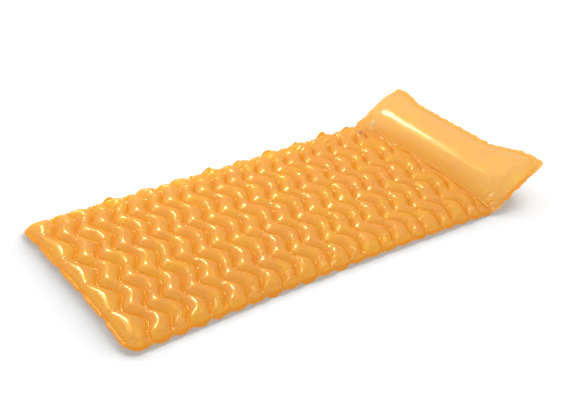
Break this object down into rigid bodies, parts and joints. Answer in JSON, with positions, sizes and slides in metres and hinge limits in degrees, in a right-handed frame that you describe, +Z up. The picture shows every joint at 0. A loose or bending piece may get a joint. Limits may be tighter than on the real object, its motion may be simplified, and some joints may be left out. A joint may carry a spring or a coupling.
{
  "type": "pool air mattress",
  "caption": "Inflatable pool mattress of wavy welded cross tubes with a separately inflated, tilted pillow chamber that folds on its weld, and two push-in valves.",
  "frame": {"origin": "on the ground under the middle of the whole mat's outline", "axes": "+X from the foot edge towards the pillow, +Y across to the side that carries the valves, +Z up"},
  "size_m": [1.812, 0.83, 0.1665],
  "materials": {
    "orange_vinyl": "glossy translucent film",
    "clear_vinyl": "glossy translucent moulding"
  },
  "bodies": {
    "mattress": {"mattress_top_sheet": "orange_vinyl", "mattress_bottom_sheet": "orange_vinyl", "mattress_valve_base": "clear_vinyl"},
    "pillow": {"pillow_top_sheet": "orange_vinyl", "pillow_bottom_sheet": "orange_vinyl", "pillow_valve_base": "clear_vinyl"},
    "mattress_stem": {"mattress_valve_stem": "clear_vinyl"},
    "mattress_stopper": {"mattress_valve_stopper": "clear_vinyl", "mattress_valve_strap": "clear_vinyl"},
    "mattress_flap": {"mattress_valve_flap": "clear_vinyl"},
    "pillow_stem": {"pillow_valve_stem": "clear_vinyl"},
    "pillow_stopper": {"pillow_valve_stopper": "clear_vinyl", "pillow_valve_strap": "clear_vinyl"},
    "pillow_flap": {"pillow_valve_flap": "clear_vinyl"}
  },
  "joints": [
    {"name": "pillow_fold", "type": "hinge", "parent": "mattress", "child": "pillow", "pos_m": [0.67428, 0, 0.0225], "axis": [0, -1, 0], "range_deg": [-55, 55]},
    {"name": "mattress_stem_slide", "type": "slide", "parent": "mattress", "child": "mattress_stem", "axis": [0, 0, 1], "range_m": [0, 0.0075]},
    {"name": "mattress_stopper_slide", "type": "slide", "parent": "mattress_stem", "child": "mattress_stopper", "axis": [0, 0, 1], "range_m": [0, 0.009]},
    {"name": "mattress_flap_swing", "type": "hinge", "parent": "mattress_stem", "child": "mattress_flap", "pos_m": [0.61043, 0.3404, 0.02985], "axis": [1, 0, 0], "range_deg": [0, 50], "stiffness_Nm_per_rad": 0.0002},
    {"name": "pillow_stem_slide", "type": "slide", "parent": "pillow", "child": "pillow_stem", "axis": [-0.9282, 0.2174, 0.302], "range_m": [0, 0.0075]},
    {"name": "pillow_stopper_slide", "type": "slide", "parent": "pillow_stem", "child": "pillow_stopper", "axis": [-0.9282, 0.2174, 0.302], "range_m": [0, 0.009]},
    {"name": "pillow_flap_swing", "type": "hinge", "parent": "pillow_stem", "child": "pillow_flap", "pos_m": [0.70389, 0.34627, 0.05674], "axis": [0.3094, 0, 0.9509], "range_deg": [0, 50], "stiffness_Nm_per_rad": 0.0002}
  ]
}
